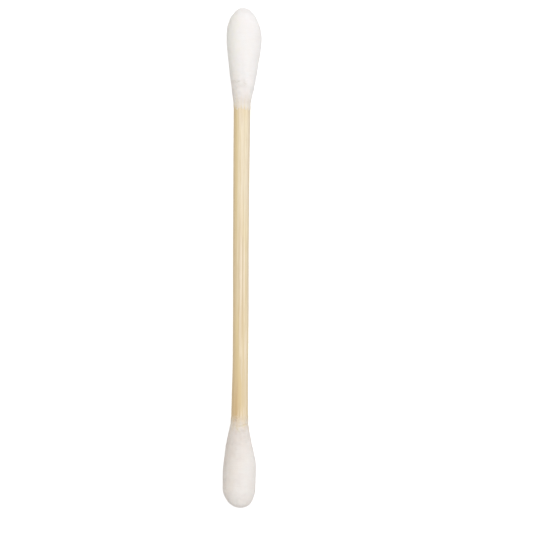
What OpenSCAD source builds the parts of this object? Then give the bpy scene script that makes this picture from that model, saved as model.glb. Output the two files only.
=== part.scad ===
// Double-ended cotton swab with a bamboo stick, lying on a table.
// Millimetres. The stick lies along Y with the upper head at +Y, X is to the
// right and Z is up. The origin is on the table, under the middle of the swab.

/* [Stick] */
// Length of the stick, whose ends are hidden in the cotton
stick_l = 70; // [50:0.5:150]
// Diameter of the stick where the cotton is wound on it
stick_d = 2.42; // [2:0.02:3.2]
// Diameter of the stick halfway between the heads
waist_d = 2.28; // [2:0.02:3.2]
// Bevel round each cut end of the stick
end_bevel = 0.25; // [0.05:0.05:0.6]

/* [Upper head] */
// Length of the head, from its nose to the thin edge of the cotton
upper_l = 14.8; // [11:0.1:20]
// Diameter at the belly
upper_belly_d = 5.2; // [4.6:0.05:6.5]
// Distance of the belly from the nose
upper_belly_at = 4.4; // [3.4:0.1:6]
// Radius of the nose
upper_nose_r = 1.85; // [1.2:0.05:2.3]
// Radius of the curve from the belly into the taper
upper_flank_r = 16; // [4:0.5:30]
// Cotton past the end of the stick
upper_cover = 1.8; // [1:0.1:3]
// Lean of the head off the line of the stick, to the right
upper_lean = 1.5; // [-3:0.1:3]
// Length of the last thin turns, on the stick
upper_film_l = 0.7; // [0.4:0.1:2]

/* [Lower head] */
// Length of the head, from its nose to the thin edge of the cotton
lower_l = 14; // [11:0.1:20]
// Diameter at the belly
lower_belly_d = 4.88; // [4.6:0.02:6.5]
// Distance of the belly from the nose
lower_belly_at = 4.8; // [3.4:0.1:6]
// Radius of the nose
lower_nose_r = 2.25; // [1.2:0.05:2.3]
// Radius of the curve from the belly into the taper
lower_flank_r = 18; // [4:0.5:30]
// Cotton past the end of the stick
lower_cover = 1.8; // [1:0.1:3]
// Lean of the head off the line of the stick, to the right
lower_lean = -0.5; // [-3:0.1:3]
// Length of the last thin turns, on the stick
lower_film_l = 1.4; // [0.4:0.1:2]

/* [Cotton] */
// Thickness of the last thin turns
film_t = 0.05; // [0.04:0.01:0.2]
// Gap between the stick and the cotton wound on it
socket_gap = 0; // [0:0.01:0.05]
// Depth by which the slimmer head is pressed flat on the table
rest_depth = 0.07; // [0.03:0.01:0.2]

/* [Hidden] */
$fn = 96;
wood = "#ecdbb9";
cotton = "#f6f2ec";

overall_l = stick_l + upper_cover + lower_cover;
upper_nose_y = overall_l / 2;
lower_nose_y = -overall_l / 2;
upper_end_y = upper_nose_y - upper_cover;
lower_end_y = lower_nose_y + lower_cover;
upper_neck_y = upper_nose_y - upper_l;
lower_neck_y = lower_nose_y + lower_l;
film_r = stick_d / 2 + socket_gap + film_t;
axis_h = min(upper_belly_d, lower_belly_d) / 2 - rest_depth;
table_w = 2 * max(upper_belly_d, lower_belly_d);
waist_steps = 12;
nose_steps = 12;
belly_steps = 10;
flank_steps = 8;
// The nose's radius stays this much under the belly's, and the flank's radius
// within this share of the flattest arc that still reaches the neck
nose_margin = 0.1;
flank_share = 0.9;

// Radius of the stick at a share t of the way from one neck to the other
function waist_r(t) = stick_d / 2 - (stick_d - waist_d) / 2 * pow(sin(180 * t), 2);

// Points on an arc from angle a to angle b. An arc that runs on from another one
// leaves out the point that they share, by starting at step 1.
function arc(centre, r, a, b, steps, first = 1) =
    [for (i = [first : steps]) let (t = a + (b - a) * i / steps) centre + r * [cos(t), sin(t)]];

// Half section of the stick, with the radius first and the place along Y second
module stick_outline(gap) {
    r = stick_d / 2 + gap;
    span = upper_neck_y - lower_neck_y;
    waist = [for (i = [0 : waist_steps]) let (t = i / waist_steps)
        [waist_r(t) + gap, lower_neck_y + span * t]];
    polygon(concat(
        [[0, lower_end_y - gap], [r - end_bevel, lower_end_y - gap],
         [r, lower_end_y - gap + end_bevel]],
        waist,
        [[r, upper_end_y + gap - end_bevel], [r - end_bevel, upper_end_y + gap],
         [0, upper_end_y + gap]]));
}

// The stick as a solid, larger by a gap all round where it cuts its sockets
module rod(gap = 0)
    translate([0, 0, axis_h]) rotate([-90, 0, 0]) rotate_extrude() stick_outline(gap);

// Half section of a head, from the nose to the neck. The nose arc runs into the
// belly arc, the belly arc into the flank arc and that into the straight taper,
// all without a corner. The last thin turns lie on the stick.
module head_outline(l, belly_r, belly_at, nose, flank_max, film_l) {
    belly_arc = (pow(belly_r, 2) + pow(belly_at - nose, 2) - pow(nose, 2)) / (2 * (belly_r - nose));
    belly_centre = [belly_r - belly_arc, belly_at];
    to_nose = [0, nose] - belly_centre;
    nose_turn = atan2(to_nose[1], to_nose[0]);

    neck = [film_r, l - film_l];
    drop = belly_r - film_r;
    reach = neck[1] - belly_at;
    flank = min(flank_max, flank_share * (pow(reach, 2) + pow(drop, 2)) / (2 * drop));
    flank_centre = [belly_r - flank, belly_at];
    to_neck = neck - flank_centre;
    taper_turn = atan2(to_neck[1], to_neck[0]) - acos(flank / norm(to_neck));

    polygon(concat(
        arc([0, nose], nose, -90, nose_turn, nose_steps, 0),
        arc(belly_centre, belly_arc, nose_turn, 0, belly_steps),
        arc(flank_centre, flank, 0, taper_turn, flank_steps),
        [neck, [film_r, l], [0, l]]));
}

// A wound head whose nose is at the origin and whose neck is along +Z
module wound_head(l, belly_d, belly_at, nose_r, flank_r, film_l) {
    nose = min(nose_r, belly_d / 2 - nose_margin);
    rotate_extrude() head_outline(l, belly_d / 2, belly_at, nose, flank_r, film_l);
}

// Keeps what is above the table and outside the stick
module seated()
    difference() {
        children();
        rod(socket_gap);
        translate([-table_w / 2, -overall_l, -table_w]) cube([table_w, 2 * overall_l, table_w]);
    }

module stick() color(wood) rod();

module upper_tip()
    color(cotton) seated()
        translate([0, upper_neck_y, axis_h]) rotate([0, 0, -upper_lean])
            translate([0, upper_l, 0]) rotate([90, 0, 0])
                wound_head(upper_l, upper_belly_d, upper_belly_at, upper_nose_r, upper_flank_r,
                    upper_film_l);

module lower_tip()
    color(cotton) seated()
        translate([0, lower_neck_y, axis_h]) rotate([0, 0, lower_lean])
            translate([0, -lower_l, 0]) rotate([-90, 0, 0])
                wound_head(lower_l, lower_belly_d, lower_belly_at, lower_nose_r, lower_flank_r,
                    lower_film_l);

stick();
upper_tip();
lower_tip();
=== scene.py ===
"""A double-ended cotton swab with a bamboo stick, lying on a pale table.

Metres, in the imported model's frame: the stick lies along Y with the upper head
at +Y, X is to the right and Z is up. Angles round the stick are turns from the
top, growing towards +X.
"""
import math
from itertools import product

import bpy
import numpy as np
from mathutils import Matrix, Vector


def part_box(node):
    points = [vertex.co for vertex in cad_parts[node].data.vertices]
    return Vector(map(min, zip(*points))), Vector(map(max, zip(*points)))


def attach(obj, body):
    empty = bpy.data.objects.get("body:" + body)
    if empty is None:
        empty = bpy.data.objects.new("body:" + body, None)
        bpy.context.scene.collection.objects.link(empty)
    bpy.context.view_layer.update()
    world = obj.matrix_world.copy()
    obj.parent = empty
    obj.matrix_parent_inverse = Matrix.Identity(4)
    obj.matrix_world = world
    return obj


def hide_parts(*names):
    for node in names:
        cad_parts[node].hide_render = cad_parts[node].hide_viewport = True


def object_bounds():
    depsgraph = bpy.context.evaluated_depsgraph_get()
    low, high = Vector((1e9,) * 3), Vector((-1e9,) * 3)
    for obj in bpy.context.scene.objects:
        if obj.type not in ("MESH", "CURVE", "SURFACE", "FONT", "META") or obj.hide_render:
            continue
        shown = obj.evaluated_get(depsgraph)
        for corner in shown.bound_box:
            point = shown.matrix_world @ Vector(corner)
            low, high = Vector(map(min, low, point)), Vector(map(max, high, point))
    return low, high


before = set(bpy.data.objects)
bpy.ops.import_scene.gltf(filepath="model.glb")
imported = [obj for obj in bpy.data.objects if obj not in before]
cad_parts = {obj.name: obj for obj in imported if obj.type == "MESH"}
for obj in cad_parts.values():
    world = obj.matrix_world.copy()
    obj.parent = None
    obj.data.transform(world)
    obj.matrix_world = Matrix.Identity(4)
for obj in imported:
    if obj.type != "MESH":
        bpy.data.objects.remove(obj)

CAD_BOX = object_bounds()
MM = 0.001
TURN = 2 * math.pi

# Sizes and places that the solids give
STICK_LOW, STICK_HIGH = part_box("stick")
STICK_R = (STICK_HIGH.x - STICK_LOW.x) / 2
AXIS_Z = (STICK_LOW.z + STICK_HIGH.z) / 2
SWAB_L = CAD_BOX[1].y - CAD_BOX[0].y

# The stick: place along it in mm, radius as a share of the solid's, and sideways shift in mm
STICK_OUTLINE = [
    (-24, 1.025, -0.065), (-20, 0.981, -0.032), (-15, 0.95, 0.02), (-8, 0.958, 0.026),
    (2, 0.963, -0.018), (9, 0.973, -0.022), (15, 0.992, -0.01), (22, 1.012, 0.029)]
END_BEVEL = 0.25 * MM
STICK_RINGS = 330
STICK_SIDES = 192
# The grain's depth, and its layers: seed, bumps across and along the stick, share of the depth
GRAIN = 0.012 * MM
GRAIN_LAYERS = [
    (5, 0.5 * MM, 22 * MM, 1),
    (6, 0.16 * MM, 9 * MM, 0.7),
    (7, 2.2 * MM, 7 * MM, 0.9),
]

# The two heads. "end" says which way the nose points along Y. "edge" is the distance from the
# nose at which the thin cotton ends on the stick, with its slant over the stick's radius and its
# raggedness, and "folds_from" is where the neck's folds begin.
HEADS = {
    "upper": {
        "node": "upper_tip",
        "end": 1,
        "length": 14.8 * MM,
        # Distance from the nose, radius and sideways shift, in mm
        "outline": [
            (0, 0, 0.13), (0.12, 0.6, 0.14), (0.3, 0.94, 0.15), (0.7, 1.34, 0.16),
            (1.2, 1.75, 0.17), (2, 2.13, 0.175), (3, 2.44, 0.23), (4.5, 2.59, 0.29),
            (6, 2.48, 0.28), (8, 2.215, 0.24), (10, 1.935, 0.19), (12, 1.6, 0.135),
            (13.4, 1.36, 0.06), (14.2, 1.255, 0.03), (15.4, 1.2, 0.03)],
        "edge": 14.95 * MM,
        "edge_slant": 0.1 * MM,
        "edge_rag": 0.2 * MM,
        "folds_from": 9.5 * MM,
        # Distance from the nose, turn, rise, width, half length and height of each fold
        "folds": [
            (10.9 * MM, -0.08, 0.2, 0.1 * MM, 0.6 * MM, -0.05 * MM),
            (11.15 * MM, -0.08, 0.2, 0.14 * MM, 0.8 * MM, 0.03 * MM),
            (10.85 * MM, -0.044, 0, 0.1 * MM, 0.22 * MM, 0.05 * MM),
            (10.87 * MM, 0.034, 0, 0.12 * MM, 0.25 * MM, 0.06 * MM)],
        "seed": 11,
    },
    "lower": {
        "node": "lower_tip",
        "end": -1,
        "length": 14 * MM,
        "outline": [
            (0, 0, 0.12), (0.3, 1.08, 0.08), (0.7, 1.6, 0.01), (1.3, 1.98, -0.025),
            (2, 2.25, -0.085), (2.6, 2.38, -0.1), (4, 2.415, -0.077), (5.4, 2.435, -0.05),
            (6.6, 2.36, -0.025), (8, 2.14, -0.07), (10, 1.765, -0.13), (11.5, 1.455, -0.107),
            (12.5, 1.28, -0.085), (13.3, 1.235, -0.065), (15.4, 1.205, -0.04)],
        "edge": 13.65 * MM,
        "edge_slant": 0.15 * MM,
        "edge_rag": 0.2 * MM,
        "folds_from": 9 * MM,
        "folds": [
            (12.2 * MM, 0.059, 0.2, 0.1 * MM, 1.2 * MM, -0.07 * MM),
            (12.42 * MM, 0.07, 0.2, 0.12 * MM, 1.2 * MM, 0.03 * MM),
            (11.75 * MM, -0.05, -1.1, 0.1 * MM, 0.8 * MM, -0.07 * MM),
            (11.95 * MM, -0.04, -1.1, 0.12 * MM, 0.8 * MM, 0.03 * MM)],
        "seed": 23,
    },
}
HEAD_RINGS = 290
HEAD_SIDES = 256
SOCKET_RINGS = 23
# Points at which a profile is worked out: on the first mm of the nose, and on the rest
NOSE_POINTS = 400
REST_POINTS = 1500

# The thin edge: its thickness, how far its end is sunk into the stick, and how it ends before and
# after its edge. The waves of its edge have a seed, so many to a turn and a share of the rag.
FILM = 0.035 * MM
SUNK = 0.03 * MM
FILM_END = (0.3 * MM, 0.25 * MM)
EDGE_WAVES = [(1, 9, 1), (2, 31, 0.6)]
# Shares of a head's length between which it merges into the stick
MERGE_FROM = 0.9
MERGE_TO = 0.97
# Distance from the nose from which the cotton lies on the stick
STICK_FROM = (SWAB_L - (STICK_HIGH.y - STICK_LOW.y)) / 2 + END_BEVEL

# Lumps: their height, what is left of it at the nose, where it is full, and what the neck takes.
# Their layers have a seed, a size and a share of the height.
LUMPS = 0.03 * MM
NOSE_LUMPS = 0.35
LUMPS_FULL = 1 * MM
NECK_TAKES_LUMPS = 0.75
LUMP_LAYERS = [(3, 1.9 * MM, 1), (4, 0.8 * MM, 0.45)]
# Ridges of the turns: their height, the share of it in the layers, where they start and are full,
# and what the neck takes. Layers: seed, lean in turns from nose to neck, rows, bumps to a turn, and
# share of the height.
RIDGES = 0.009 * MM
LAYER_HEIGHT = 0.6
RIDGES_FROM = 0.3 * MM
RIDGES_FULL = 1.6 * MM
NECK_TAKES_RIDGES = 0.3
RIDGE_LAYERS = [(5, 1.1, 44, 4, 1), (6, -2.3, 90, 7, 0.6), (7, 6, 60, 16, 0.5)]
FOLD_LAYER = (8, 0.9, 6, 22)
# Single turns that cross each other at the neck: their number and seed, and the ranges of their
# place as a share of the length, rise, share of the ridges' height, and width and half length in mm
CROSSINGS = 9
CROSSING_SEED = 9
CROSSING_PLACE = (0.72, 0.95)
CROSSING_RISE = (0.15, 0.8)
CROSSING_HEIGHT = (0.3, 0.8)
CROSSING_WIDTH = (0.08, 0.16)
CROSSING_REACH = (1, 2.4)
# Share of a single turn's half length from which it fades, and share of a head's length from
# which its relief does
TURN_FADE = 0.6
RELIEF_FADE = 0.93
# How softly the cotton meets the table, and the share of that by which it sinks
TABLE_SOFTNESS = 0.05 * MM
TABLE_SINK = 0.02

# The fibres on the cotton: radius and its spread, sides, height as a share of their width, how
# much they taper and how suddenly, steps along them, and seed
FIBRE_R = 0.0058 * MM
FIBRE_R_SPREAD = (0.75, 1.3)
FIBRE_SIDES = 3
FLATNESS = 0.5
FIBRE_TAPER = 0.75
FIBRE_TAPER_POWER = 6
FIBRE_STEPS = 10
FIBRE_SEED = 40
# Share of a head's length that fibres start on, and how near to the nose they come along it
FIBRE_REACH = 0.965
NOSE_GAP = 0.2 * MM
# How deep the ends of a fibre are tucked in, and how sharply
TUCK = 0.03 * MM
TUCK_POWER = 5
# Laid fibres: number, length in mm, first place as a share of the reach, lean off the turn in
# radians, its sway and how many sways they have, and height over the cotton and of their bow in mm
LAID_FIBRES = 2550
LAID_LENGTH = (1.6, 5.5)
LAID_FROM = 0.06
LAID_LEAN = 0.35
LAID_SWAY = 0.25
LAID_SWAYS = (0.5, 1.5)
LAID_HEIGHT = 0.014
LAID_BOW = 0.012
# Fibres over the nose: number, half length, distance from the tip, bow and height, in mm, and how
# near to the tip they come
NOSE_FIBRES = 330
NOSE_HALF = (0.7, 1.6)
NOSE_OFF = 0.6
NOSE_BOW = 0.3
NOSE_HEIGHT = (0.002, 0.014)
NOSE_NEAREST = 0.02 * MM
# Loose fibres: number, length in mm, place as a share of the reach, curl in radians, rise off the
# cotton in mm, the arc that they rise on in half turns, and how their first end is tucked in
LOOSE_FIBRES = 200
LOOSE_LENGTH = (0.5, 1.6)
LOOSE_PLACE = (0.05, 0.95)
LOOSE_CURL = 1.2
LOOSE_RISE = 0.03
LOOSE_RISE_SPREAD = 0.07
LOOSE_RISE_MOST = 0.28
LOOSE_ARC = (0.45, 0.9)
LOOSE_TUCK = 0.02 * MM
LOOSE_TUCK_POWER = 8

# The wood's tones
WOOD = {
    "pale": (0.925, 0.81, 0.58),
    "mid": (0.83, 0.70, 0.46),
    "dark": (0.68, 0.52, 0.30),
    "cream": (0.97, 0.84, 0.675),
    "gold": (0.79, 0.63, 0.35),
    "tan": (0.70, 0.50, 0.27),
    "brown": (0.42, 0.28, 0.15),
    "olive": (0.62, 0.45, 0.21),
    "ash": (0.80, 0.68, 0.53),
    "milk": (0.95, 0.87, 0.71),
    "dun": (0.70, 0.58, 0.40),
}
# Its grain: bumps across and along the stick, detail, the noise at which a layer starts and is
# full, and its strength
WOOD_GRAIN = {
    "broad": (0.42 * MM, 26 * MM, 2, 0.38, 0.62, 1),
    "narrow": (0.14 * MM, 12 * MM, 2, 0.40, 0.66, 0.56),
    "dashes": (0.055 * MM, 3.2 * MM, 1, 0.57, 0.68, 0.42),
    "lines": (0.028 * MM, 9 * MM, 1, 0.42, 0.6, 0.13),
}
# Streaks along the stick: turn and half width in degrees, from Y to Y and softness of the ends
# in mm, colour and strength
STREAKS = [
    # This long gold streak and the long tan one at -62 degrees are partly the bamboo's own tone and
    # partly painted shade on the left side, away from the lamp
    (-58, 16, -40, 40, 1, "gold", 0.4),
    (-48, 12, -17, 3.5, 3, "tan", 0.3),
    (62, 14, -40, 40, 1, "mid", 0.7),
    (-40, 13, 4, 40, 3, "gold", 0.8),
    (-28, 17, -19, -8, 3, "gold", 0.8),
    (-30, 30, -40, -18.5, 4, "tan", 0.75),
    (-25, 8, -40, -15, 4, "brown", 0.1),
    (-26, 8, -40, -20.5, 2, "olive", 0.45),
    (-13, 7, -13, 4, 3, "dark", 0.35),
    (4, 6, -17.5, 2.5, 1.5, "cream", 0.28),
    (-6, 5, -11, -6, 1.5, "cream", 0.45),
    (-5, 7, -40, -14.5, 2.5, "gold", 0.8),
    (5, 5, -40, -18.3, 1.5, "gold", 0.7),
    (24, 6, -8, 1, 1.5, "cream", 0.6),
    (24, 6, -19, -9, 2, "dark", 0.3),
    (41, 7, -23, -10.5, 1.5, "cream", 0.65),
    (44, 8, 7, 40, 3, "cream", 0.35),
    (8, 9, 2.5, 40, 3, "cream", 0.25),
    (11, 3, -12.5, 3, 1, "dark", 0.45),
    (36, 5, -10, 4, 2, "mid", 0.9),
    (5, 9, -18.5, -14.5, 1.5, "dun", 0.35),
    (-5, 5, -24, -20.3, 1, "dun", 0.6),
    (28, 12, -40, -14, 4, "mid", 0.6),
    (18, 32, -40, -23.4, 0.7, "cream", 0.9),
    (-12, 6, 20, 40, 1.5, "cream", 0.55),
    (4, 8, 19.5, 40, 1.5, "mid", 0.3),
    (-11, 6, 9, 15, 2, "mid", 0.35),
    (1, 5, 9, 15, 2, "cream", 0.35),
    (0, 6, 2.5, 8, 1.5, "cream", 0.35),
    (64, 14, 6, 40, 4, "ash", 0.7),
    (20, 28, 8, 20, 2, "milk", 0.45),
    (20, 6, 5, 20, 2, "dun", 0.28),
    (0, 8, 18.3, 24, 1, "ash", 0.5),
    (34, 8, 5, 9, 2, "milk", 0.35),
    (-11, 4, -5, 2, 1.5, "dun", 0.5),
    (-4, 4, -4, 3, 1.5, "cream", 0.45),
    (4, 4, -7, 2.8, 1, "cream", 0.8),
    (15, 5, -8, 3, 1.5, "dun", 0.7),
    (50, 7, -4, 2.5, 2, "dun", 0.35),
    (66, 9, -10, 4.5, 2, "ash", 0.6),
    # Partly the bamboo's own tone and partly painted shade on the left side, away from the lamp
    (-62, 10, -40, 40, 1, "tan", 0.35),
    (-44, 6, -19, -11, 2, "tan", 0.25),
    (-62, 18, -40, -23.2, 0.6, "milk", 0.9),
]
STREAK_SOFTNESS = 0.4
# How streaks stray: bumps along X, Y and Z, detail, and width in radians or metres
STREAK_WOBBLE = ((0.9 * MM, 5 * MM, 0.9 * MM), 3, 0.35)
STREAK_FRAY = ((0.2 * MM, 4 * MM, 0.2 * MM), 2, 9 * MM)
# The tan lower end: from Y to Y, and strength
LOW_END = (-12 * MM, -22 * MM, 0.22)
# A darker speck at the lower neck: X, Y, where its edge starts and ends, and strength
SPECK_X = -0.66 * MM
SPECK_Y = -23.8 * MM
SPECK_EDGE = (0.286 * MM, 0.066 * MM, 0.5)
# The wood's finish: bumps and detail of its pores, their depth and strength, and its roughness
PORES = ((0.07 * MM, 5 * MM, 0.07 * MM), 3)
PORE_DEPTH = 0.035 * MM
PORE_STRENGTH = 0.8
WOOD_ROUGH = 0.48
WOOD_ROUGH_SPREAD = 0.3

# The cotton's colours and what changes them with the distance from the nose in mm, each from one
# distance to another with a strength: a warmer, darker tone towards the neck, which is partly the
# wood under the thinning cotton and partly painted shade; painted light that makes the cotton paler
# at the nose; and "thin" where the wood shows through. "lean" moves the first two towards the nose
# on the left, which paints the left side darker and the right side paler as shade and light;
# "thin_lean" moves the third. "edge_bare" is how much more of the wood the thin edge shows. Lines
# of painted shade lie along the folds in their own colour: from X, Y to X, Y, width, all in mm, and
# strength.
COTTON = {
    "upper": {
        "light": (0.975, 0.945, 0.93),
        "shade": (0.945, 0.905, 0.875),
        "warm": (0.95, 0.92, 0.82),
        "fibre": (0.985, 0.96, 0.95),
        # Warmer, darker towards the neck: partly the wood under the thinning cotton, partly painted
        # shade
        "tint_and_shade": (0.76, 0.66, 0.57),
        "tinted_and_shaded": (9, 14, 0.24),
        # Painted light: paler towards the nose
        "nose": (0.99, 0.97, 0.96),
        "nose_painted_light": (2.4, 0.6, 0.7),
        "thin": [(12.8, 14.4, 0.31), (14.35, 15.05, 0.7)],
        # Paints the left side darker and the right side paler, as shade and light
        "lean": -0.8,
        "thin_lean": -0.2,
        "edge_bare": 0,
        # Painted shade along the folds, in its own colour
        "crease_shade": (0.55, 0.52, 0.43),
        "crease_shades": [
            (-1.3, 26.0, -0.75, 25.75, 0.18, 0.5),
            (-0.75, 25.72, -0.35, 25.8, 0.18, 0.5),
            (0.2, 25.65, 0.75, 25.4, 0.15, 0.22)],
    },
    "lower": {
        "light": (0.915, 0.87, 0.83),
        "shade": (0.865, 0.805, 0.76),
        "warm": (0.86, 0.80, 0.72),
        "fibre": (0.95, 0.905, 0.87),
        # Warmer, darker towards the neck: partly the wood under the thinning cotton, partly painted
        # shade
        "tint_and_shade": (0.69, 0.605, 0.54),
        "tinted_and_shaded": (6, 13, 0.28),
        # Painted light: paler towards the nose
        "nose": (0.96, 0.93, 0.905),
        "nose_painted_light": (7.5, 2.5, 0.5),
        "thin": [(11, 12.8, 0.42), (12.4, 13.5, 0.45)],
        # Paints the left side darker and the right side paler, as shade and light
        "lean": -2.2,
        "thin_lean": 0,
        "edge_bare": 0.72,
        # Painted shade along the folds, yellowish
        "crease_shade": (0.90, 0.84, 0.62),
        "crease_shades": [
            (-0.2, -24.75, 1.15, -24.45, 0.2, 0.75),
            (-0.8, -24.6, 0, -25.55, 0.2, 0.75)],
    },
}
# How far before and after its edge the thin cotton gets barer, and how high up the lines of painted
# fold shade begin
EDGE_BARE_FROM = 1.2 * MM
EDGE_BARE_TO = 0.05 * MM
CREASE_FADE = 0.3 * MM
# How the distance from the nose strays: bumps along X, Y and Z, detail and width
NECK_RAG = ((0.5 * MM, 0.9 * MM, 0.5 * MM), 3, 1.2 * MM)
NECK_STREAKS = ((0.3 * MM, 6 * MM, 0.3 * MM), 2, 3.5 * MM)
# The turns of the cotton as noise: bumps along X, Y and Z, detail, and rotation in degrees
WOUND = ((2.2 * MM, 0.13 * MM, 2.2 * MM), 3, (9, 0, 12))
CROSSED = ((1.8 * MM, 0.17 * MM, 1.8 * MM), 3, (-14, 0, -17))
FINE = ((0.9 * MM, 0.05 * MM, 0.9 * MM), 2, (4, 0, -8))
FINE_SHARE = 0.5
# Its shading: where each starts and is full, and strength. Patches and ivory have a size too.
TURN_SHADE = (0.8, 1.25, 0.45)
PATCH_SIZE = ((1.6 * MM,) * 3, 3)
PATCH_SHADE = (0.35, 0.7, 0.4)
IVORY_SIZE = ((1.1 * MM,) * 3, 3)
IVORY_SPREAD = 3.0
IVORY_SHADE = (1.4, 3.0, 0.6)
COTTON_DEPTH = 0.016 * MM
COTTON_STRENGTH = 0.5
# The fibres' own shades, and how much of the wood they show where the cotton is thin
FIBRE_SIZE = ((0.35 * MM,) * 3, 2)
FIBRE_SHADE = (0.3, 0.7)
FIBRE_BARE = 0.85

# The table: its half width, how far it lies below the cotton, its colour, the glow that only the
# camera and reflections see, and the share of the light from below that it lets through
FLOOR_HALF = 1.5
FLOOR_Z = -0.02 * MM
FLOOR_WHITE = 0.8
FLOOR_GLOW = 0.6
FLOOR_CLEAR = 0.35
# The light: strength of the light from all round, and the lamp's power, place and size
WHITE = (1, 1, 1, 1)
FILL = 0.6
KEY_POWER = 0.95
KEY_PLACE = (0.095, 0.13, 0.42)
KEY_SIZE = 0.3

# The camera looks straight down, with the swab left of the middle and a little high
VIEW_W = 533
VIEW_H = 558
SWAB_PX = 499.3
SWAB_CENTRE_PX = (240.96, 257.85)
SWAB_TILT = math.radians(0.318)
LENS = 100
SENSOR = 36


def smooth(share):
    """A share from 0 to 1, eased at both ends."""
    return share * share * (3 - 2 * share)


def fade(low, high, value):
    """0 up to low, 1 from high on, and smooth in between."""
    return smooth(np.clip((value - low) / (high - low), 0, 1))


def curve_through(stations, values, at):
    """The cubic through the stations that never overshoots them."""
    stations, values = np.array(stations, float), np.array(values, float)
    steps = np.diff(stations)
    slopes = np.diff(values) / steps
    same_way = slopes[:-1] * slopes[1:] > 0
    safe = np.where(same_way, slopes[:-1] * slopes[1:], 0)
    between = np.where(same_way, 2 * safe / np.where(same_way, slopes[:-1] + slopes[1:], 1), 0)
    tangents = np.concatenate([[slopes[0]], between, [slopes[-1]]])
    span = np.clip(np.searchsorted(stations, at) - 1, 0, len(steps) - 1)
    t = (at - stations[span]) / steps[span]
    bend = smooth(t)
    rise_in = t * (1 - t) ** 2 * steps[span] * tangents[span]
    rise_out = t * t * (t - 1) * steps[span] * tangents[span + 1]
    return values[span] * (1 - bend) + values[span + 1] * bend + rise_in + rise_out


def space_noise(seed, points, cell):
    """Smooth noise from -1 to 1 in space, with bumps about as large as the cell."""
    size = 64
    table = np.random.default_rng(seed).uniform(-1, 1, (size, size, size))
    place = points / np.array(cell) + size / 2
    corner = np.floor(place).astype(int)
    share = smooth(place - corner)
    total = np.zeros(points.shape[:-1])
    for step in product((0, 1), repeat=3):
        weight = np.prod(np.where(np.array(step) == 1, share, 1 - share), axis=-1)
        i, j, k = np.moveaxis((corner + np.array(step)) % size, -1, 0)
        total += weight * table[i, j, k]
    return total


def round_noise(seed, along, turns, rows, columns):
    """Smooth noise from -1 to 1 that closes on itself after one turn.

    It has about so many rows of bumps as along goes from 0 to 1, and columns to a turn.
    """
    lattice = np.random.default_rng(seed).uniform(-1, 1, (rows + 3, columns))
    v = np.clip(along, 0, 1) * rows
    u = (turns % 1) * columns
    row = np.floor(v).astype(int)
    column = np.floor(u).astype(int)
    v_share = smooth(v - row)
    u_share = smooth(u - column)

    def on_row(i):
        """The noise on one row of the lattice."""
        near, far = lattice[i, column % columns], lattice[i, (column + 1) % columns]
        return near * (1 - u_share) + far * u_share
    return on_row(row) * (1 - v_share) + on_row(row + 1) * v_share


def round_axis(middle, r, y, turns):
    """Points at a radius and a turn round the stick's line, moved sideways by the middle."""
    angle = TURN * turns
    return np.stack([middle + r * np.sin(angle), y, AXIS_Z + r * np.cos(angle)], axis=-1)


def stick_curve(column, y):
    """A column of the stick's outline, level past its ends."""
    places = [row[0] * MM for row in STICK_OUTLINE]
    values = [row[column] for row in STICK_OUTLINE]
    return curve_through(places, values, np.clip(y, places[0], places[-1]))


def stick_middle(y):
    """How far to the right the stick's middle lies."""
    return stick_curve(2, y) * MM


def stick_surface(y, turns):
    """The stick's radius, slimmer at the middle and grooved along its grain."""
    angle = TURN * turns
    around = np.stack([STICK_R * np.sin(angle), y + 0 * turns, STICK_R * np.cos(angle)], axis=-1)
    relief = sum(share * space_noise(seed, around, (across, along, across))
                 for seed, across, along, share in GRAIN_LAYERS)
    return STICK_R * stick_curve(1, y) + GRAIN * relief


def placed(name, data):
    """An object in the scene for a mesh, lamp or camera."""
    item = bpy.data.objects.new(name, data)
    bpy.context.scene.collection.objects.link(item)
    return item


def closed_piece(name, mesh):
    """An object for a closed mesh, with every face turned to the outside."""
    mesh.calc_loop_triangles()
    places = np.zeros(len(mesh.vertices) * 3)
    mesh.vertices.foreach_get("co", places)
    corners = np.zeros(len(mesh.loop_triangles) * 3, int)
    mesh.loop_triangles.foreach_get("vertices", corners)
    a, b, c = places.reshape(-1, 3)[corners.reshape(-1, 3)].transpose(1, 0, 2)
    if np.sum(a * np.cross(b, c)) < 0:
        mesh.flip_normals()
    return placed(name, mesh)


def shell_piece(name, rings):
    """A closed smooth piece over rings of points, with a point in the middle of each end."""
    count, sides = rings.shape[:2]
    points = np.concatenate([rings.reshape(-1, 3), rings[0].mean(0)[None], rings[-1].mean(0)[None]])
    i, j = np.meshgrid(np.arange(count - 1), np.arange(sides), indexing="ij")
    after = (j + 1) % sides
    corners = [i * sides + j, (i + 1) * sides + j, (i + 1) * sides + after, i * sides + after]
    quads = np.stack(corners, axis=-1).reshape(-1, 4)
    j = np.arange(sides)
    after = (j + 1) % sides
    last = (count - 1) * sides
    first_fan = np.stack([np.full(sides, count * sides), j, after], axis=-1)
    last_fan = np.stack([np.full(sides, count * sides + 1), last + after, last + j], axis=-1)
    mesh = bpy.data.meshes.new(name)
    mesh.from_pydata(points.tolist(), [], quads.tolist() + first_fan.tolist() + last_fan.tolist())
    mesh.shade_smooth()
    return closed_piece(name, mesh)


def make_stick():
    """The bamboo stick, with bevelled ends inside the cotton."""
    y = np.linspace(STICK_LOW.y + END_BEVEL, STICK_HIGH.y - END_BEVEL, STICK_RINGS)
    y = np.concatenate([[STICK_LOW.y], y, [STICK_HIGH.y]])
    cut = np.zeros(len(y))
    cut[[0, -1]] = END_BEVEL
    turns = np.arange(STICK_SIDES) / STICK_SIDES
    yy, tt = np.meshgrid(y, turns, indexing="ij")
    r = stick_surface(yy, tt) - cut[:, None]
    return shell_piece("bamboo_stick", round_axis(stick_middle(yy), r, yy, tt))


def nose_of(head):
    """Where along Y a head's nose is."""
    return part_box(head["node"])[1 if head["end"] > 0 else 0].y


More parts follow.
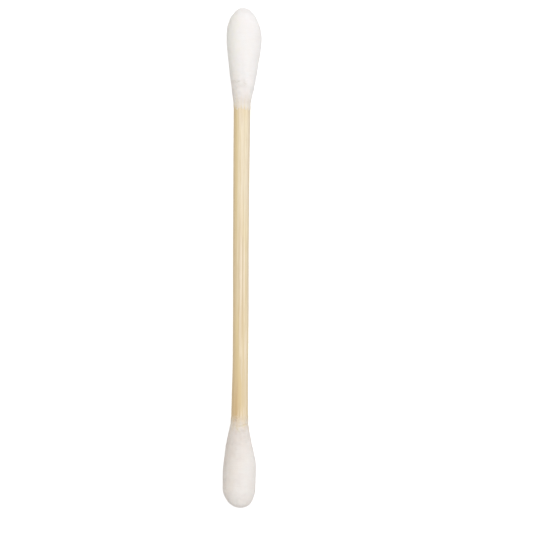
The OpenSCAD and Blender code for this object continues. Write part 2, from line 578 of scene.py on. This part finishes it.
def head_profile(head):
    """Even steps along the surface from the nose, with the distance from the nose, the radius
    and the sideways shift at each."""
    stations, radii, shifts = np.array(head["outline"]).T * MM
    nose = np.linspace(0, 1, NOSE_POINTS) ** 2 * MM
    rest = np.linspace(1, stations[-1] / MM, REST_POINTS)[1:] * MM
    d = np.concatenate([nose, rest])
    r = np.sqrt(np.maximum(curve_through(stations, radii ** 2, d), 0))
    run = np.concatenate([[0], np.cumsum(np.hypot(np.diff(d), np.diff(r)))])
    even = np.linspace(0, run[-1], HEAD_RINGS + 1)[1:]
    d_even = np.interp(even, run, d)
    r_even = np.interp(even, run, r)
    return even, d_even, r_even, curve_through(stations, shifts, d_even)


def head_edge(head, turns):
    """Distance from the nose at which the thin cotton ends, ragged round the stick."""
    slant = head["edge_slant"] * np.sin(TURN * turns)
    rag = sum(share * round_noise(head["seed"] + seed, 0 * turns, turns, 1, waves)
              for seed, waves, share in EDGE_WAVES)
    return head["edge"] + slant + head["edge_rag"] * rag


def turn_ridge(d, turns, r, at_d, at_turn, rise, width, reach):
    """1 along a single turn that crosses a place and rises towards the neck, and 0 off it."""
    off_turn = (turns - at_turn + 0.5) % 1 - 0.5
    along = TURN * off_turn * r
    off = (d - at_d) - rise * along
    return np.exp(-(off / width) ** 2) * (1 - fade(TURN_FADE * reach, reach, np.abs(along)))


def crossing_turns(head):
    """Single turns that cross each other at the neck, listed as the head's folds are."""
    rng = np.random.default_rng(head["seed"] + CROSSING_SEED)
    found = []
    for _ in range(CROSSINGS):
        at_d = head["length"] * rng.uniform(*CROSSING_PLACE)
        rise = rng.choice([-1, 1]) * rng.uniform(*CROSSING_RISE)
        height = RIDGES * rng.uniform(*CROSSING_HEIGHT)
        at_turn = rng.uniform(0, 1)
        width = rng.uniform(*CROSSING_WIDTH) * MM
        reach = rng.uniform(*CROSSING_REACH) * MM
        found.append((at_d, at_turn, rise, width, reach, height))
    return found


def wound_relief(head, s, d, turns, points):
    """The lumps of the cotton, the ridges of its turns and the soft folds at its neck."""
    seed = head["seed"]
    share = d / head["length"]
    lumps = sum(part * space_noise(seed + layer, points, (size,) * 3)
                for layer, size, part in LUMP_LAYERS)
    ridges = sum(part * round_noise(seed + layer, share, turns + lean * share, rows, columns)
                 for layer, lean, rows, columns, part in RIDGE_LAYERS)
    layer, lean, rows, columns = FOLD_LAYER
    folds = round_noise(seed + layer, share, turns + lean * share, rows, columns)
    neck = fade(head["folds_from"], head["length"] * MERGE_TO, d)
    lumpy = NOSE_LUMPS + (1 - NOSE_LUMPS) * fade(0, LUMPS_FULL, s)
    ridged = fade(RIDGES_FROM, RIDGES_FULL, s)
    relief = LUMPS * lumps * lumpy * (1 - NECK_TAKES_LUMPS * neck)
    relief = relief + RIDGES * LAYER_HEIGHT * ridges * ridged * (1 - NECK_TAKES_RIDGES * neck)
    return relief + RIDGES * LAYER_HEIGHT * folds * neck


def head_relief(head, s, d, turns, r, points):
    """How far the surface of the cotton stands out from its plain form."""
    relief = wound_relief(head, s, d, turns, points)
    for at_d, at_turn, rise, width, reach, height in crossing_turns(head) + head["folds"]:
        relief = relief + height * turn_ridge(d, turns, r, at_d, at_turn, rise, width, reach)
    return relief * (1 - fade(head["length"] * RELIEF_FADE, head["length"], d))


def on_table(points):
    """Presses flat what would lie below the table."""
    z = points[..., 2]
    points[..., 2] = (z + np.sqrt(z * z + TABLE_SOFTNESS ** 2)) / 2 - TABLE_SOFTNESS * TABLE_SINK
    return points


def normals_of(points):
    """Outward directions on a closed grid of points, rings first."""
    along = np.gradient(points, axis=0)
    around = np.roll(points, -1, axis=1) - np.roll(points, 1, axis=1)
    normal = np.cross(along, around)
    never_zero = 1e-12
    normal /= np.linalg.norm(normal, axis=-1, keepdims=True) + never_zero
    centre = points.mean(axis=1, keepdims=True)
    facing = np.sum((points - centre) * normal) > 0
    return normal if facing else -normal


def head_surface(head):
    """The outside of a head as a grid of points, with its normals, and for each ring its run
    along the surface and its distance from the nose."""
    s, d, r, shift = head_profile(head)
    turns = np.arange(HEAD_SIDES) / HEAD_SIDES
    ss, tt = np.meshgrid(s, turns, indexing="ij")
    dd, rr, shifts = (row[:, None] + 0 * tt for row in (d, r, shift))
    y = nose_of(head) - head["end"] * dd
    edge = head_edge(head, tt)
    film = FILM - (FILM + SUNK) * fade(edge - FILM_END[0], edge + FILM_END[1], dd)
    on_stick = stick_surface(y, tt) + film
    merged = fade(head["length"] * MERGE_FROM, head["length"] * MERGE_TO, dd)
    wound = rr * (1 - merged) + on_stick * merged
    radius = np.where(dd > STICK_FROM, np.maximum(wound, on_stick), rr)
    middle = shifts * (1 - merged) + stick_middle(y) * merged
    points = round_axis(middle, radius, y, tt)
    points = points + normals_of(points) * head_relief(head, ss, dd, tt, rr, points)[..., None]
    points = on_table(points)
    return {"points": points, "normals": normals_of(points), "run": s, "distance": d}


def socket(head, last_ring):
    """Rings for the inside of a head, which runs along the stick to its end."""
    stick_end = STICK_HIGH.y if head["end"] > 0 else STICK_LOW.y
    turns = np.arange(HEAD_SIDES) / HEAD_SIDES
    y = np.linspace(last_ring[:, 1].mean(), stick_end, SOCKET_RINGS + 1)[1:]
    rings = []
    for place, cut in [*((v, 0) for v in y), (stick_end, END_BEVEL + SUNK)]:
        places = place + 0 * turns
        r = stick_surface(places, turns) - SUNK - cut
        rings.append(round_axis(stick_middle(places), r, places, turns))
    return np.array(rings)


def make_head(name, head, surface):
    """The wound cotton of one head, as a closed shell on the stick."""
    points = surface["points"]
    return shell_piece(name + "_cotton", np.concatenate([points, socket(head, points[-1])]))


def surface_at(surface, s, turns):
    """Points and directions on a head at a run from the nose and an angle."""
    run = surface["run"]
    inside_last = 1.001
    row = np.clip(np.interp(s, run, np.arange(len(run))), 0, len(run) - inside_last)
    column = (turns % 1) * HEAD_SIDES
    i = np.floor(row).astype(int)
    j = np.floor(column).astype(int) % HEAD_SIDES
    v = (row - i)[:, None]
    u = (column % 1)[:, None]
    after = (j + 1) % HEAD_SIDES

    def blend(grid):
        """The grid's value between its points."""
        return ((grid[i, j] * (1 - u) + grid[i, after] * u) * (1 - v)
                + (grid[i + 1, j] * (1 - u) + grid[i + 1, after] * u) * v)
    direction = blend(surface["normals"])
    direction = direction / np.linalg.norm(direction, axis=-1, keepdims=True)
    return blend(surface["points"]), direction


def fibre_rings(points, normal, thickness):
    """The rings of one thin fibre, which tapers to both of its ends."""
    tangent = np.gradient(points, axis=0)
    tangent /= np.linalg.norm(tangent, axis=-1, keepdims=True)
    side = np.cross(tangent, normal)
    side /= np.linalg.norm(side, axis=-1, keepdims=True)
    top = np.cross(side, tangent)
    t = np.linspace(-1, 1, len(points))
    r = (thickness * (1 - FIBRE_TAPER * t ** FIBRE_TAPER_POWER))[:, None, None]
    angle = TURN * (np.arange(FIBRE_SIDES) / FIBRE_SIDES + 0.25)
    height = FLATNESS * np.sin(angle)
    wheel = np.cos(angle)[None, :, None] * side[:, None] + height[None, :, None] * top[:, None]
    return points[:, None] + r * wheel


def kept_on(s, run_end):
    """Runs from the nose that turn back before they reach it, and stop at the cotton's end."""
    return np.minimum(np.abs(s - NOSE_GAP) + NOSE_GAP, run_end)


def laid_fibre(rng, radius_of, reach, run_end):
    """A fibre that lies on the cotton, mostly round it, with both ends tucked in."""
    t = np.linspace(0, 1, FIBRE_STEPS + 1)
    step = rng.uniform(*LAID_LENGTH) * MM / FIBRE_STEPS
    start = rng.uniform(LAID_FROM, 1) * reach
    lean = rng.normal(0, LAID_LEAN) + (LAID_LEAN if rng.random() < 0.5 else -LAID_LEAN)
    lean = lean + rng.normal(0, LAID_LEAN) * (t - 0.5)
    lean = lean + LAID_SWAY * np.sin(TURN * (t * rng.uniform(*LAID_SWAYS) + rng.random()))
    s = start + np.concatenate([[0], np.cumsum(np.sin(lean[1:]) * step)])
    s = kept_on(s, run_end)
    way = rng.choice([-1, 1])
    around = np.cos(lean[1:]) * step / (TURN * radius_of(s)[1:])
    turns = rng.random() + way * np.concatenate([[0], np.cumsum(around)])
    height = rng.uniform(0, LAID_HEIGHT) * MM
    lift = height + rng.exponential(LAID_BOW) * MM * np.sin(math.pi * t)
    return s, turns, lift - TUCK * (np.abs(2 * t - 1) ** TUCK_POWER)


def nose_fibre(rng, *_):
    """A fibre that crosses over the nose."""
    t = np.linspace(-1, 1, FIBRE_STEPS + 1)
    half = rng.uniform(*NOSE_HALF) * MM
    off = rng.normal(0, NOSE_OFF) * MM
    bow = rng.normal(0, NOSE_BOW) * MM
    heading = rng.uniform(0, TURN)
    u = half * t
    v = off + bow * t * t
    x = u * math.cos(heading) - v * math.sin(heading)
    y = u * math.sin(heading) + v * math.cos(heading)
    s = np.maximum(np.hypot(x, y), NOSE_NEAREST)
    lift = rng.uniform(*NOSE_HEIGHT) * MM - TUCK * np.abs(t) ** TUCK_POWER
    return s, np.arctan2(x, y) / TURN, lift


def loose_fibre(rng, radius_of, reach, run_end):
    """A short fibre that leaves the cotton and curls away from it."""
    t = np.linspace(0, 1, FIBRE_STEPS + 1)
    length = rng.uniform(*LOOSE_LENGTH) * MM
    start = rng.uniform(*LOOSE_PLACE) * reach
    heading = rng.uniform(0, TURN)
    curl = heading + rng.normal(0, LOOSE_CURL) * t
    s = kept_on(start + length * np.cumsum(np.sin(curl)) / FIBRE_STEPS, run_end)
    around = np.cumsum(np.cos(curl)) * length / FIBRE_STEPS / (TURN * radius_of(s))
    turns = rng.random() + around
    rise = min(LOOSE_RISE + rng.exponential(LOOSE_RISE_SPREAD), LOOSE_RISE_MOST) * MM
    lift = rise * np.sin(math.pi * t * rng.uniform(*LOOSE_ARC))
    return s, turns, lift - LOOSE_TUCK * (1 - t) ** LOOSE_TUCK_POWER


def fibre_points(head, surface):
    """The rings of all the fibres of one head, one fibre after the other."""
    rng = np.random.default_rng(head["seed"] + FIBRE_SEED)
    points, run = surface["points"], surface["run"]
    centre = points.mean(axis=1)
    ring_r = np.linalg.norm(points - centre[:, None], axis=-1).mean(axis=1)

    def radius_of(s):
        """The mean radius of a head at a run from its nose."""
        return np.interp(s, run, ring_r)
    reach = np.interp(head["length"] * FIBRE_REACH, surface["distance"], run)
    found = []
    kinds = [laid_fibre] * LAID_FIBRES + [nose_fibre] * NOSE_FIBRES + [loose_fibre] * LOOSE_FIBRES
    for fibre in kinds:
        s, turns, lift = fibre(rng, radius_of, reach, run[-1])
        base, normal = surface_at(surface, s, turns)
        line = base + normal * lift[:, None]
        line[:, 2] = np.maximum(line[:, 2], FIBRE_R)
        rings = fibre_rings(line, normal, FIBRE_R * rng.uniform(*FIBRE_R_SPREAD))
        found.append(rings.reshape(-1, 3))
    return found


def fibre_faces(count):
    """The faces of so many closed fibres."""
    i, j = np.meshgrid(np.arange(FIBRE_STEPS), np.arange(FIBRE_SIDES), indexing="ij")
    after = (j + 1) % FIBRE_SIDES
    here = i * FIBRE_SIDES
    there = (i + 1) * FIBRE_SIDES
    quads = np.stack([here + j, here + after, there + after, there + j], axis=-1).reshape(-1, 4)
    first = np.arange(FIBRE_SIDES)[::-1]
    last = np.arange(FIBRE_SIDES) + FIBRE_STEPS * FIBRE_SIDES
    offsets = np.arange(count) * (FIBRE_STEPS + 1) * FIBRE_SIDES
    faces = (quads[None] + offsets[:, None, None]).reshape(-1, 4).tolist()
    faces += (first[None] + offsets[:, None]).tolist()
    faces += (last[None] + offsets[:, None]).tolist()
    return faces


def make_fibres(name, head, surface):
    """All the fibres of one head, each a thin closed thread."""
    points = fibre_points(head, surface)
    mesh = bpy.data.meshes.new(name + "_fibres")
    mesh.from_pydata(np.concatenate(points).tolist(), [], fibre_faces(len(points)))
    mesh.shade_flat()
    return closed_piece(name + "_fibres", mesh)


def connect(tree, value, socket_in):
    """Links a socket to a node's input, or sets the input to a plain value."""
    if isinstance(value, bpy.types.NodeSocket):
        tree.links.new(value, socket_in)
    else:
        socket_in.default_value = value


def add_node(tree, kind, *values):
    """A new node of a kind, with values or links in its first inputs."""
    node = tree.nodes.new("ShaderNode" + kind)
    for value, socket_in in zip(values, node.inputs):
        connect(tree, value, socket_in)
    return node


def add_math(tree, operation, a, b=0.0):
    """The result of a sum on two values or links."""
    node = add_node(tree, "Math", a, b)
    node.operation = operation
    return node.outputs[0]


class Nodes:
    """Short ways to add nodes to a material."""

    def __init__(self, name):
        """Starts a material with its shader and the place on the object."""
        self.material = bpy.data.materials.new(name)
        self.material.use_nodes = True
        self.tree = self.material.node_tree
        self.shader = self.tree.nodes["Principled BSDF"]
        self.place = add_node(self.tree, "TexCoord").outputs["Object"]

    def math(self, operation, a, b=0.0):
        """The result of a sum on two values or links."""
        return add_math(self.tree, operation, a, b)

    def axis(self, letter):
        """The place along X, Y or Z."""
        return add_node(self.tree, "SeparateXYZ", self.place).outputs[letter]

    def noise(self, cell, detail=2.0, turn=(0, 0, 0)):
        """Noise with bumps of about the cell's size, in metres along X, Y and Z."""
        mapping = add_node(self.tree, "Mapping", self.place)
        mapping.inputs["Scale"].default_value = [1 / size for size in cell]
        mapping.inputs["Rotation"].default_value = [math.radians(angle) for angle in turn]
        node = add_node(self.tree, "TexNoise", mapping.outputs[0])
        node.inputs["Scale"].default_value = 1.0
        node.inputs["Detail"].default_value = detail
        return node.outputs["Fac"]

    def stray(self, cell, detail, width):
        """Noise to both sides of 0, about as wide as asked."""
        off = self.math("SUBTRACT", self.noise(cell, detail), 0.5)
        return self.math("MULTIPLY", off, width)

    def ramp(self, value, low, high, strength=None):
        """0 where value is low, 1 or the strength where it is high, and smooth in between."""
        node = add_node(self.tree, "MapRange", value)
        node.interpolation_type = "SMOOTHSTEP"
        node.inputs["From Min"].default_value = low
        node.inputs["From Max"].default_value = high
        result = node.outputs["Result"]
        return result if strength is None else self.math("MULTIPLY", result, strength)

    def mix(self, share, a, b):
        """Colour a where the share is 0 and b where it is 1."""
        node = self.tree.nodes.new("ShaderNodeMix")
        node.data_type = "RGBA"
        connect(self.tree, share, node.inputs["Factor"])
        for colour, letter in ((a, "A"), (b, "B")):
            plain = colour if isinstance(colour, bpy.types.NodeSocket) else (*colour, 1)
            connect(self.tree, plain, node.inputs[letter])
        return node.outputs["Result"]

    def bump(self, height, distance, strength):
        """Raises the surface in the light by a height."""
        node = self.tree.nodes.new("ShaderNodeBump")
        node.inputs["Distance"].default_value = distance
        node.inputs["Strength"].default_value = strength
        connect(self.tree, height, node.inputs["Height"])
        connect(self.tree, node.outputs[0], self.shader.inputs["Normal"])

    def set(self, **values):
        """Sets or links the shader's inputs."""
        for key, value in values.items():
            name = key.replace("_", " ").title().replace("Ior", "IOR")
            connect(self.tree, value, self.shader.inputs[name])


def streak(n, turn, y, at, half, y_from, y_to, soft):
    """1 inside a long soft streak, and 0 outside it."""
    off = n.math("ABSOLUTE", n.math("SUBTRACT", turn, math.radians(at)))
    wide = math.radians(half * (1 + STREAK_SOFTNESS))
    across = n.ramp(off, wide, math.radians(half * (1 - STREAK_SOFTNESS)))
    length = (y_to - y_from) * MM / 2
    off = n.math("ABSOLUTE", n.math("SUBTRACT", y, (y_from + y_to) / 2 * MM))
    return n.math("MULTIPLY", across, n.ramp(off, length + soft * MM, length - soft * MM))


def streaked(n, colour, x, y, z):
    """The colour with all the streaks, which wander round the stick and have frayed ends."""
    turn = n.math("ARCTAN2", x, n.math("SUBTRACT", z, AXIS_Z))
    turn = n.math("ADD", turn, n.stray(*STREAK_WOBBLE))
    frayed_y = n.math("ADD", y, n.stray(*STREAK_FRAY))
    for *place, tone, strength in STREAKS:
        share = n.math("MULTIPLY", streak(n, turn, frayed_y, *place), strength)
        colour = n.mix(share, colour, WOOD[tone])
    return colour


def grain(n, layer):
    """The share of one layer of the wood's grain."""
    across, along, detail, start, full, strength = WOOD_GRAIN[layer]
    return n.ramp(n.noise((across, along, across), detail), start, full, strength)


def speck(n, x, y):
    """The share of the speck's colour."""
    off_x = n.math("POWER", n.math("SUBTRACT", x, SPECK_X), 2)
    off_y = n.math("POWER", n.math("SUBTRACT", y, SPECK_Y), 2)
    return n.ramp(n.math("SQRT", n.math("ADD", off_x, off_y)), *SPECK_EDGE)


def wood_colour(n):
    """Bamboo: fine grain and streaks along Y, tanner at the lower end, and golden on the left,
    partly from its own tone and partly as painted shade on the side away from the lamp.
    """
    x, y, z = n.axis("X"), n.axis("Y"), n.axis("Z")
    colour = n.mix(grain(n, "broad"), WOOD["pale"], WOOD["mid"])
    colour = n.mix(grain(n, "narrow"), colour, WOOD["dark"])
    colour = streaked(n, colour, x, y, z)
    colour = n.mix(n.ramp(y, *LOW_END), colour, WOOD["tan"])
    colour = n.mix(speck(n, x, y), colour, WOOD["brown"])
    colour = n.mix(grain(n, "lines"), colour, WOOD["tan"])
    return n.mix(grain(n, "dashes"), colour, WOOD["dark"])


def wood_material():
    """Dry bamboo with fine pores along its grain."""
    n = Nodes("bamboo")
    pores = n.noise(*PORES)
    roughness = n.math("ADD", WOOD_ROUGH, n.math("MULTIPLY", pores, WOOD_ROUGH_SPREAD))
    n.set(base_color=wood_colour(n), roughness=roughness, specular_ior_level=0.3)
    n.bump(pores, PORE_DEPTH, PORE_STRENGTH)
    return n.material


def cotton_colour(n, finish, turns):
    """Warm white, paler and darker along the turns, and ivory in patches on the left."""
    patches = n.ramp(n.noise(*PATCH_SIZE), *PATCH_SHADE)
    share = n.math("ADD", n.ramp(turns, *TURN_SHADE), patches)
    colour = n.mix(share, finish["light"], finish["shade"])
    left = n.math("MULTIPLY", n.axis("X"), -1 / MM)
    ivory = n.math("ADD", left, n.math("MULTIPLY", n.noise(*IVORY_SIZE), IVORY_SPREAD))
    return n.mix(n.ramp(ivory, *IVORY_SHADE), colour, finish["warm"])


def plain_from_nose(n, head, lean):
    """How far from the head's nose a place is, made nearer or farther sideways by a lean."""
    distance = n.math("MULTIPLY", n.math("SUBTRACT", n.axis("Y"), nose_of(head)), -head["end"])
    return n.math("ADD", distance, n.math("MULTIPLY", n.axis("X"), lean))


def from_nose(n, head, lean):
    """The distance that plain_from_nose gives, made a little ragged and streaky."""
    distance = n.math("ADD", plain_from_nose(n, head, lean), n.stray(*NECK_RAG))
    return n.math("ADD", distance, n.stray(*NECK_STREAKS))


def steps_of(n, distance, steps):
    """The share that the first step gives, and then what each later one takes of the rest."""
    total = 0.0
    for start, stop, share in steps:
        step = n.ramp(distance, start * MM, stop * MM, share)
        rest = n.math("SUBTRACT", 1.0, total)
        total = n.math("ADD", total, n.math("MULTIPLY", step, rest))
    return total


def crease_shade(n, x_from, y_from, x_to, y_to, width, strength):
    """A soft line of painted shade on the upper side along a fold, from one place to another."""
    run = math.hypot(x_to - x_from, y_to - y_from)
    way_x, way_y = (x_to - x_from) / run, (y_to - y_from) / run
    x = n.math("SUBTRACT", n.axis("X"), (x_from + x_to) / 2 * MM)
    y = n.math("SUBTRACT", n.axis("Y"), (y_from + y_to) / 2 * MM)
    along = n.math("ADD", n.math("MULTIPLY", x, way_x), n.math("MULTIPLY", y, way_y))
    off = n.math("SUBTRACT", n.math("MULTIPLY", x, way_y), n.math("MULTIPLY", y, way_x))
    across = n.ramp(n.math("ABSOLUTE", off), width * MM, 0)
    length = n.ramp(n.math("ABSOLUTE", along), (run / 2 + width) * MM, (run / 2 - width) * MM)
    on_top = n.ramp(n.axis("Z"), AXIS_Z, AXIS_Z + CREASE_FADE)
    share = n.math("MULTIPLY", n.math("MULTIPLY", across, length), on_top)
    return n.math("MULTIPLY", share, strength)


def bare_share(n, head, finish):
    """How much of the wood shows through the cotton, most at its thin edge."""
    bare = steps_of(n, from_nose(n, head, finish["thin_lean"]), finish["thin"])
    if not finish["edge_bare"]:
        return bare
    even = plain_from_nose(n, head, -head["edge_slant"] / STICK_R)
    start, stop = head["edge"] - EDGE_BARE_FROM, head["edge"] + EDGE_BARE_TO
    at_edge = n.ramp(even, start, stop, finish["edge_bare"])
    return n.math("ADD", bare, n.math("MULTIPLY", at_edge, n.math("SUBTRACT", 1.0, bare)))


def thinned(n, head, finish, colour):
    """The colour with painted light that makes it paler at the nose, and a warmer, darker tone
    towards the neck that is partly the wood under the thinning cotton and partly painted shade;
    with the wood showing through where the cotton is thin, and with lines of painted shade along
    its folds."""
    leaning = from_nose(n, head, finish["lean"])
    # Painted light: paler towards the nose
    colour = n.mix(steps_of(n, leaning, [finish["nose_painted_light"]]), colour, finish["nose"])
    # Partly the wood under the thinning cotton, partly painted shade
    colour = n.mix(steps_of(n, leaning, [finish["tinted_and_shaded"]]), colour, finish["tint_and_shade"])
    colour = n.mix(bare_share(n, head, finish), colour, wood_colour(n))
    # Lines of painted shade along the folds
    for line in finish["crease_shades"]:
        colour = n.mix(crease_shade(n, *line), colour, finish["crease_shade"])
    return colour


def cotton_material(name, head):
    """Warm white cotton whose turns run round it, with the wood showing through its thin edge."""
    finish = COTTON[name]
    n = Nodes(name + "_cotton")
    turns = n.math("ADD", n.noise(*WOUND), n.noise(*CROSSED))
    colour = thinned(n, head, finish, cotton_colour(n, finish, turns))
    n.set(base_color=colour, roughness=0.92, specular_ior_level=0.15, sheen_weight=0.12,
          sheen_roughness=0.6, subsurface_weight=0.25, subsurface_scale=0.1 * MM,
          subsurface_radius=(1.0, 0.85, 0.75))
    fine = n.math("MULTIPLY", n.noise(*FINE), FINE_SHARE)
    n.bump(n.math("ADD", turns, fine), COTTON_DEPTH, COTTON_STRENGTH)
    return n.material


def fibre_material(name, head):
    """Single cotton fibres, a little paler and darker from one to the next."""
    finish = COTTON[name]
    n = Nodes(name + "_fibre")
    share = n.ramp(n.noise(*FIBRE_SIZE), *FIBRE_SHADE)
    colour = n.mix(share, finish["fibre"], finish["light"])
    # Warmer, darker towards the neck as on the cotton: partly the wood under it, partly painted
    # shade
    tinted_and_shaded = steps_of(n, from_nose(n, head, finish["lean"]), [finish["tinted_and_shaded"]])
    colour = n.mix(tinted_and_shaded, colour, finish["tint_and_shade"])
    bare = steps_of(n, from_nose(n, head, finish["thin_lean"]), finish["thin"])
    colour = n.mix(n.math("MULTIPLY", bare, FIBRE_BARE), colour, WOOD["pale"])
    n.set(base_color=colour, roughness=0.8, specular_ior_level=0.2, sheen_weight=0.1)
    return n.material


def dress(piece, material):
    """Gives a piece its material and its slot, and fixes it to the swab."""
    piece.data.materials.append(material)
    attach(piece, "root")


def looked_at(tree):
    """1 where the camera, a reflection or a view through glass looks, and 0 for other light."""
    path = add_node(tree, "LightPath")
    seen = path.outputs["Is Camera Ray"]
    for other in ("Is Glossy Ray", "Is Transmission Ray"):
        seen = add_math(tree, "MAXIMUM", seen, path.outputs[other])
    return seen


def floor_material():
    """Pale, with a glow that lights nothing, and clear from below and to some of the light."""
    material = bpy.data.materials.new("table")
    material.use_nodes = True
    tree = material.node_tree
    tree.nodes.clear()
    diffuse = add_node(tree, "BsdfDiffuse", (FLOOR_WHITE, FLOOR_WHITE, FLOOR_WHITE, 1))
    strength = add_math(tree, "MULTIPLY", looked_at(tree), FLOOR_GLOW)
    glow = add_node(tree, "Emission", WHITE, strength)
    lit = add_node(tree, "AddShader", diffuse.outputs[0], glow.outputs[0])
    from_below = add_node(tree, "NewGeometry").outputs["Backfacing"]
    clearness = add_math(tree, "MAXIMUM", from_below, FLOOR_CLEAR)
    clear = add_node(tree, "BsdfTransparent")
    mix = add_node(tree, "MixShader", clearness, lit.outputs[0], clear.outputs[0])
    add_node(tree, "OutputMaterial", mix.outputs[0])
    return material


def make_floor():
    """A wide plain table that keeps the swab's shadow."""
    mesh = bpy.data.meshes.new("table")
    signs = [(-1, -1), (1, -1), (1, 1), (-1, 1)]
    corners = [(x * FLOOR_HALF, y * FLOOR_HALF, FLOOR_Z) for x, y in signs]
    mesh.from_pydata(corners, [], [(0, 1, 2, 3)])
    mesh.materials.append(floor_material())
    floor = placed("table", mesh)


def make_world():
    """Soft light from all round, and plain white where the camera or a reflection looks."""
    world = bpy.data.worlds.new("studio")
    bpy.context.scene.world = world
    world.use_nodes = True
    tree = world.node_tree
    tree.nodes.clear()
    fill = add_node(tree, "Background", WHITE, FILL)
    white = add_node(tree, "Background", WHITE, 1)
    mix = add_node(tree, "MixShader", looked_at(tree), fill.outputs[0], white.outputs[0])
    add_node(tree, "OutputWorld", mix.outputs[0])


def make_key():
    """A large soft lamp above the swab, to its right and beyond its upper head."""
    lamp = bpy.data.lights.new("key", "AREA")
    lamp.shape = "SQUARE"
    lamp.size = KEY_SIZE
    lamp.energy = KEY_POWER
    key = placed("key", lamp)
    key.location = KEY_PLACE
    key.rotation_mode = "QUATERNION"
    key.rotation_quaternion = (-Vector(KEY_PLACE)).to_track_quat("-Z", "Y")


def make_camera():
    """A camera straight above, framed as the swab lies in the picture."""
    pixel = SWAB_L / SWAB_PX
    distance = VIEW_H * pixel * LENS / SENSOR
    right = Vector((math.cos(SWAB_TILT), math.sin(SWAB_TILT), 0))
    up = Vector((-math.sin(SWAB_TILT), math.cos(SWAB_TILT), 0))
    across = (VIEW_W / 2 - SWAB_CENTRE_PX[0]) * pixel
    down = (VIEW_H / 2 - SWAB_CENTRE_PX[1]) * pixel
    place = right * across - up * down + Vector((0, 0, AXIS_Z + distance))
    data = bpy.data.cameras.new("camera")
    data.lens = LENS
    data.sensor_width = SENSOR
    camera = placed("camera", data)
    turn = Matrix((right, up, Vector((0, 0, 1)))).transposed()
    camera.matrix_world = Matrix.Translation(place) @ turn.to_4x4()
    bpy.context.scene.camera = camera


make_camera()
make_floor()
make_world()
make_key()
bpy.context.scene.view_settings.view_transform = "Standard"

stick = make_stick()
dress(stick, wood_material())
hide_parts("stick")

for name, head in HEADS.items():
    surface = head_surface(head)
    cotton = make_head(name, head, surface)
    dress(cotton, cotton_material(name, head))
    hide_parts(head["node"])
    fibres = make_fibres(name, head, surface)
    dress(fibres, fibre_material(name, head))
